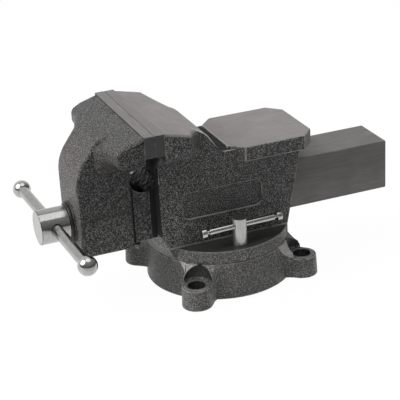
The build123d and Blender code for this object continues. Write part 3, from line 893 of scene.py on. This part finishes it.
basePaint = castPaint("hammerPaintBase", "baseColor", "baseSpeck", "gloss", baseLightAndShade,
                      (shadedLugs, gussetPaintedLight))
bodyPaint = castPaint("hammerPaintBody", "color", "speckColor", "gloss", bodyPaintedLight,
                      (rimPaintedLight, smoothLedge, rimWearAndHighlight, dustAndHighlightLine, gapPaintedShade, shadedSaddle, dustyAnvil,
                       groundTops, burrAndHighlight))
jawPaint = castPaint("hammerPaintJaw", "color", "jawSpeck", "jawGloss", jawLightAndShade,
                     (groundRam, stepPaintedShadow, bossPaintedShade, throatGlints, cheekHighlight))
throatPaint = shadedThroat()


# castings: the CAD solids with their edges broken, as they come from the mould

castings = {
    "baseCasting": ("swivel_base", 1.1 * mm, basePaint),
    "bodyCasting": ("fixed_jaw", 0.9 * mm, bodyPaint),
    "jawCasting": ("movable_jaw", 0.9 * mm, jawPaint),
}
for name, (node, width, material) in castings.items():
    bm = cadCopy(node)
    roundEdges(bm, width)
    for face in bm.faces:  # the pipe throat's wall has its own finish, painted near-black for its shade
        away = max(math.hypot(v.co.x - throat["x"], v.co.z - throat["z"]) for v in face.verts)
        if node != "swivel_base" and away < throat["radius"]:
            face.material_index = 1
    makePiece(name, bm, node, material, throatPaint)
print("castings ready")


# bright and ground metal

metals = {
    "chrome": {"color": (0.5, 0.497, 0.49), "roughness": 0.13, "stretch": (1, 0.2, 1), "bump": 0.01 * mm},
    "barSteel": {"color": (0.38, 0.378, 0.372), "roughness": 0.17, "stretch": (1, 0.2, 1), "bump": 0.01 * mm},
    "satinZinc": {"color": (0.58, 0.576, 0.571), "roughness": 0.34, "metallic": 0.75, "stretch": (1, 1, 0.2),
                  "topColor": (0.16, 0.16, 0.16)},
    # turned steel's dark edge colour is a painted line of shade in the break of each edge
    "turnedSteel": {"color": (0.4, 0.397, 0.39), "roughness": 0.13, "stretch": (3, 0.3, 0.3),
                    "fineness": 900.0, "rubColor": (0.06, 0.06, 0.06), "rubAmount": 1.0},
    "groundPlate": {"color": (0.053, 0.053, 0.054), "roughness": 0.4, "metallic": 0.2,
                    "stretch": (0.3, 0.06, 1), "fineness": 800.0, "rubColor": (0.3, 0.29, 0.285),
                    "topColor": (0.162, 0.151, 0.149)},
    "oiledSteel": {"color": (0.045, 0.045, 0.046), "roughness": 0.4, "metallic": 0.7, "fineness": 600.0,
                   "rubColor": (0.12, 0.12, 0.12)},
    "zincPlate": {"color": (0.5, 0.5, 0.49), "roughness": 0.35, "fineness": 700.0},
    "springSteel": {"color": (0.2, 0.2, 0.21), "roughness": 0.35, "metallic": 0.9, "fineness": 700.0},
    "greasedIron": {"color": (0.07, 0.068, 0.065), "roughness": 0.5, "metallic": 0.4, "bump": 0.1 * mm},
}
metalLook = {"cloud": (0.92, 1.08), "roughnessSpread": 0.2, "rubPatch": 5.0, "topFacing": (0.75, 0.9),
             "bumpStrength": 0.6}


def metalFinish(name, color, roughness, metallic=1.0, stretch=(1, 1, 1), fineness=500.0, bump=0.03 * mm,
                rubColor=None, rubAmount=0.6, topColor=None):
    look = metalLook
    material, tree, sockets = newMaterial(name)
    place = coordinate(tree, "Object")
    marks = useGroup(toolMarks, Vector=place, Stretch=stretch, Fineness=fineness)
    tone = product(marks["Tone"], between(marks["Cloud"], *look["cloud"]))
    shade = scaled(color, tone)
    if rubColor:
        rub = useGroup(edgeRub, Vector=place, Amount=rubAmount, Patch=look["rubPatch"])["Rub"]
        shade = mixColor(rub, shade, rubColor)
    if topColor:
        upward = mapRange(splitAxes(coordinate(tree, "Normal"))["Z"], *look["topFacing"])
        shade = mixColor(upward, shade, scaled(topColor, tone))
    spread = roughness * look["roughnessSpread"]
    feed(sockets["Base Color"], shade)
    feed(sockets["Roughness"], between(marks["Cloud"], roughness - spread, roughness + spread))
    sockets["Metallic"].default_value = metallic
    addBump(sockets, marks["Height"], bump, look["bumpStrength"])
    return material


metal = {name: metalFinish(name, **values) for name, values in metals.items()}


# jaw plates with crossed teeth on the gripping face

plate = {"pitch": 2.3 * mm, "depth": 0.55 * mm, "margin": 1.4 * mm, "bevel": 0.55 * mm,
         "holeSpacing": 100 * mm, "boreRadius": 6.8 * mm, "boreDepth": 6.8 * mm, "holeRadius": 4.3 * mm,
         "holeDepth": 20 * mm, "over": 1 * mm, "segments": 48, "rub": 0.25, "smoothAngle": 25}


def frontFace(bm, facing):
    return max(bm.faces, key=lambda face: face.calc_area() * (face.normal.x * facing > 0.99))


def addTeeth(bm, face, facing):  # a grid of pyramids in place of the plate's front
    front = frontFace(bm, facing)
    ys, zs = zip(*(vert.co.yz for vert in front.verts))
    lowY, lowZ = min(ys), min(zs)
    width, height = max(ys) - lowY, max(zs) - lowZ
    columns, rows = round(width / plate["pitch"]), round(height / plate["pitch"])
    rim = list(front.edges)
    bmesh.ops.delete(bm, geom=[front], context="FACES_ONLY")
    for edge in rim:
        flat = abs(edge.verts[0].co.z - edge.verts[1].co.z) < mending["merge"]
        bmesh.ops.subdivide_edges(bm, edges=[edge], cuts=(columns if flat else rows) - 1)
    grid = {}
    for i in range(columns + 1):
        for j in range(rows + 1):
            inner = 0 < i < columns and 0 < j < rows
            grid[i, j] = bm.verts.new((face - facing * plate["depth"] * inner, lowY + width * i / columns,
                                       lowZ + height * j / rows))
    layer = bm.faces.layers.float["edgeShare"]
    for i in range(columns):
        for j in range(rows):
            ring = (grid[i, j], grid[i + 1, j], grid[i + 1, j + 1], grid[i, j + 1])
            tip = bm.verts.new(sum((v.co for v in ring), Vector()) / 4)
            tip.co.x = face
            for first, second in zip(ring, ring[1:] + ring[:1]):
                bm.faces.new((first, second, tip))[layer] = plate["rub"]
    bmesh.ops.remove_doubles(bm, verts=bm.verts, dist=mending["merge"])


def jawPlate(name, node, facing):
    low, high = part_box(node)
    face = high.x if facing > 0 else low.x
    bm = bmesh.new()
    bmesh.ops.create_cube(bm, size=1)
    bmesh.ops.scale(bm, vec=high - low, verts=bm.verts)
    bmesh.ops.translate(bm, vec=(low + high) / 2, verts=bm.verts)
    roundEdges(bm, plate["bevel"])
    bmesh.ops.recalc_face_normals(bm, faces=bm.faces)
    bmesh.ops.inset_individual(bm, faces=[frontFace(bm, facing)], thickness=plate["margin"])
    addTeeth(bm, face, facing)
    depth, far, wide, narrow = (plate[key] for key in ("boreDepth", "holeDepth", "boreRadius", "holeRadius"))
    depth += plate["over"]
    profile = [(0, 0), (0, wide), (depth, wide), (depth, narrow), (far, narrow), (far, 0)]
    start, aside, middle = face + facing * plate["over"], plate["holeSpacing"] / 2, (low.z + high.z) / 2
    cutMesh(bm, *(lathe(bmesh.new(), profile, (start, y, middle), (-facing, 0, 0), plate["segments"])
                  for y in (-aside, aside)))
    makePiece(name, bm, node, metal["groundPlate"], smoothAngle=plate["smoothAngle"])


jawPlate("fixedPlate", "fixed_jaw_plate", -1)
jawPlate("movablePlate", "movable_jaw_plate", 1)
print("jaw plates ready")


# leading screw: hub with the handle's hole, plain neck, and a square-cut thread

screw = {"height": 87.5 * mm, "hubRadius": 17.8 * mm, "hubEnd": -193.6 * mm, "hubStart": -163.3 * mm,
         "radius": 12 * mm, "core": 9 * mm, "coreSkin": 0.02 * mm, "end": 125 * mm, "chamfer": 1.5 * mm,
         "pitch": 6 * mm, "threadStart": -96 * mm, "threadMargin": 3 * mm, "threadSteps": 48,
         "plainEnd": -99 * mm, "segments": 96, "handleX": -177.8 * mm, "tilt": 2.8, "holeRadius": 6.2 * mm,
         "holeSegments": 48, "pinRadius": 2 * mm, "pinSegments": 24, "cutReach": 30 * mm, "edge": 0.7 * mm}
threadShape = ((0.0, 0), (0.1, 1), (0.45, 1), (0.55, 0))  # share of the pitch, share of the depth
tilt = math.radians(screw["tilt"])
handleAxis = Vector((0, math.cos(tilt), -math.sin(tilt)))
handlePlace = (screw["handleX"], 0, screw["height"])
pinLow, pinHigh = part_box("split_pin")
pinX = (pinLow.x + pinHigh.x) / 2


def leadScrew():
    bm = bmesh.new()
    hub, radius, chamfer = screw["hubRadius"], screw["radius"], screw["chamfer"]
    core = screw["core"] + screw["coreSkin"]
    start, neck, plain, end = (screw[key] for key in ("hubEnd", "hubStart", "plainEnd", "end"))
    outline = [(start, 0), (start, hub), (neck, hub), (neck, radius), (plain, radius),
               (plain + chamfer, core), (end - chamfer, core), (end, screw["core"] - chamfer), (end, 0)]
    lathe(bm, outline, (0, 0, screw["height"]), (1, 0, 0), screw["segments"])
    reach, pinPlace = screw["cutReach"], (pinX, 0, screw["height"])
    cutMesh(bm, bore(screw["holeRadius"], reach, handlePlace, handleAxis, screw["holeSegments"]),
            bore(screw["pinRadius"], reach, pinPlace, (0, 0, 1), screw["pinSegments"]))
    roundEdges(bm, screw["edge"], segments=3)
    addThread(bm)
    makePiece("leadScrew", bm, "spindle", metal["turnedSteel"])


def addThread(bm):
    around, pitch, start = screw["threadSteps"], screw["pitch"], screw["threadStart"]
    steps = int((screw["end"] - screw["threadMargin"] - start) / pitch) * around
    rings = []
    for step in range(steps + 1):
        angle = 2 * math.pi * step / around
        fade = min(1, step / (around / 2), (steps - step) / (around / 2))
        ring = []
        for along, share in threadShape:
            radius = screw["core"] + (screw["radius"] - screw["core"]) * share * fade
            ring.append(bm.verts.new((start + pitch * (step / around + along), radius * math.cos(angle),
                                      screw["height"] + radius * math.sin(angle))))
        rings.append(ring)
    for first, second in zip(rings, rings[1:]):
        for index in range(len(threadShape) - 1):
            bm.faces.new((first[index], first[index + 1], second[index + 1], second[index]))


leadScrew()


# sliding handle with a ball on each end

handle = {"near": 116.2 * mm, "far": 118.8 * mm, "radius": 5.9 * mm, "ballRadius": 9.7 * mm, "flat": 7.6 * mm,
          "tenonRadius": 4 * mm, "tenonLength": 5 * mm, "soft": 0.8 * mm, "socket": 1.5 * mm,
          "socketGaps": (0.3 * mm, 0.1 * mm), "arcSteps": 40, "segments": 64}


def handlePieces():
    flat, big, r, tenon = (handle[key] for key in ("flat", "ballRadius", "radius", "tenonRadius"))
    start, end, out = flat - handle["near"], handle["far"] - flat, handle["tenonLength"]
    outline = [(start - out, 0), (start - out, tenon), (start, tenon), (start, r), (end, r), (end, tenon),
               (end + out, tenon), (end + out, 0)]
    bar = lathe(bmesh.new(), softened(outline, handle["soft"]), handlePlace, handleAxis, handle["segments"])
    makePiece("handleBar", bar, "handle_bar", metal["barSteel"])
    steps = handle["arcSteps"]
    sweep = math.pi - math.acos(flat / big)
    angles = [sweep * step / steps for step in range(steps + 1)]
    arc = [(-math.cos(angle) * big, math.sin(angle) * big) for angle in angles]
    depth, (mouth, inner) = flat - handle["socket"], handle["socketGaps"]
    arc += [(flat, tenon + mouth), (depth, tenon + inner), (depth, 0)]
    for name, node, place, inward in (("nearBall", "handle_ball_near", -handle["near"], 1),
                                      ("farBall", "handle_ball_far", handle["far"], -1)):
        profile = [(place + inward * x, y) for x, y in arc]
        ball = lathe(bmesh.new(), profile, handlePlace, handleAxis, handle["segments"])
        makePiece(name, ball, node, metal["chrome"])


handlePieces()
print("screw and handle ready")


# swivel locks: post, sliding bar and its two caps on each side

lock = {"radius": 59.3 * mm, "postRadius": 7.3 * mm, "postLow": 51.4 * mm, "postSegments": 64,
        "shank": 6 * mm, "edge": 0.6 * mm, "barHeight": 72 * mm, "turn": 2.5, "barRadius": 3.4 * mm,
        "barGap": 0.3 * mm, "cutReach": 15 * mm, "holeSegments": 32, "barLength": 79 * mm, "shift": 2.5 * mm,
        "neckRadius": 1.9 * mm, "neckLength": 3 * mm, "barSoft": 0.6 * mm, "barSegments": 48,
        "capRadius": 4.9 * mm, "cap": 5.4 * mm, "capGap": 0.05 * mm, "capSoft": 1.0 * mm}


def lockPieces(word, side):
    low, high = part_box(f"lock_bolt_{word}")
    turn = math.radians(lock["turn"])
    barAxis = (math.cos(turn), -side * math.sin(turn), 0)
    origin, centre = ((0, side * lock["radius"], height) for height in (0, lock["barHeight"]))
    base, shank, r = lock["postLow"], lock["shank"], lock["postRadius"]
    outline = [(low.z, 0), (low.z, shank), (base, shank), (base, r), (high.z, r), (high.z, 0)]
    bm = lathe(bmesh.new(), outline, origin, (0, 0, 1), lock["postSegments"])
    hole = lock["barRadius"] + lock["barGap"]
    cutMesh(bm, bore(hole, lock["cutReach"], centre, barAxis, lock["holeSegments"]))
    roundEdges(bm, lock["edge"], segments=3)
    makePiece(f"lockPost{word.capitalize()}", bm, f"lock_bolt_{word}", metal["satinZinc"])
    start, end = (lock["shift"] + sign * lock["barLength"] / 2 for sign in (-1, 1))
    neck, step, r = lock["neckRadius"], lock["neckLength"], lock["barRadius"]
    outline = [(start - step, 0), (start - step, neck), (start + step, neck), (start + step, r),
               (end - step, r), (end - step, neck), (end + step, neck), (end + step, 0)]
    bm = lathe(bmesh.new(), softened(outline, lock["barSoft"]), centre, barAxis, lock["barSegments"])
    makePiece(f"lockBar{word.capitalize()}", bm, f"lock_bar_{word}", metal["chrome"])
    bm = bmesh.new()
    for edge, out in ((start, -lock["cap"]), (end, lock["cap"])):
        r = lock["capRadius"]
        outline = [(edge, neck + lock["capGap"]), (edge, r), (edge + out, r), (edge + out, 0)]
        lathe(bm, softened(outline, lock["capSoft"]), centre, barAxis, lock["barSegments"])
    makePiece(f"barCaps{word.capitalize()}", bm, f"lock_bar_caps_{word}", metal["chrome"])


lockPieces("near", -1)
lockPieces("far", 1)
print("swivel locks ready")


# small parts

pin = {"wire": 0.95 * mm, "eye": 2.1 * mm, "eyeStart": 0.35, "top": 3 * mm, "neck": 2 * mm, "bottom": 5 * mm,
       "splay": 5 * mm, "drop": 4 * mm, "curl": 2.2 * mm, "bends": (1.0, 0.7, 0.4, 0.15), "legSteps": 12,
       "eyeSteps": 9, "segments": 12}
spring = {"wire": 1.3 * mm, "turns": 3, "steps": 180, "segments": 16}


def splitPin():
    wire, eye = pin["wire"], pin["eye"]
    top, bottom = pinHigh.z - pin["top"], pinLow.z + pin["bottom"]
    half = [(wire + pin["splay"] * bend, bottom - pin["drop"] * bend + pin["curl"] * bend * bend)
            for bend in pin["bends"]]
    half += [(wire, z) for z in np.linspace(bottom, top - pin["neck"], pin["legSteps"])]
    half += [(math.sin(a) * eye + wire * math.cos(a / 2) ** 4, top - math.cos(a) * eye)
             for a in np.linspace(pin["eyeStart"], math.pi, pin["eyeSteps"])]
    path = [(pinX, y, z) for y, z in half] + [(pinX, -y, z) for y, z in reversed(half[:-1])]
    tube = sweepTube(bmesh.new(), path, wire, pin["segments"])
    makePiece("cotterPin", tube, "split_pin", metal["zincPlate"])


def coilSpring():
    low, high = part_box("thrust_spring")
    wire = spring["wire"]
    radius = (high.y - low.y) / 2 - wire
    path = []
    for step in range(spring["steps"] + 1):
        share = step / spring["steps"]
        angle = 2 * math.pi * spring["turns"] * share
        path.append((low.x + wire + (high.x - low.x - 2 * wire) * share, radius * math.cos(angle),
                     screw["height"] + radius * math.sin(angle)))
    tube = sweepTube(bmesh.new(), path, wire, spring["segments"])
    makePiece("coilSpring", tube, "thrust_spring", metal["springSteel"])


splitPin()
coilSpring()
small = {
    # the thrust washer's dark oiled finish is also painted shade beside the hub
    "thrustWasher": ("thrust_washer", 0.4, "oiledSteel"),
    "keeperWasher": ("keeper_washer", 0.4, "zincPlate"),
    "nutBoltWasher": ("nut_bolt_washer", 0.3, "zincPlate"),
    "nutBolt": ("nut_bolt", 0.5, "oiledSteel"),
    "spindleNut": ("spindle_nut", 0.6, "greasedIron"),
    "lockNutNear": ("lock_nut_near", 0.8, "greasedIron"),
    "lockNutFar": ("lock_nut_far", 0.8, "greasedIron"),
    "fixedPlateScrews": ("fixed_plate_screws", 0.4, "oiledSteel"),
    "movablePlateScrews": ("movable_plate_screws", 0.4, "oiledSteel"),
}
for name, (node, width, finish) in small.items():
    bm = cadCopy(node)
    roundEdges(bm, width * mm)
    makePiece(name, bm, node, metal[finish])
print("small parts ready")
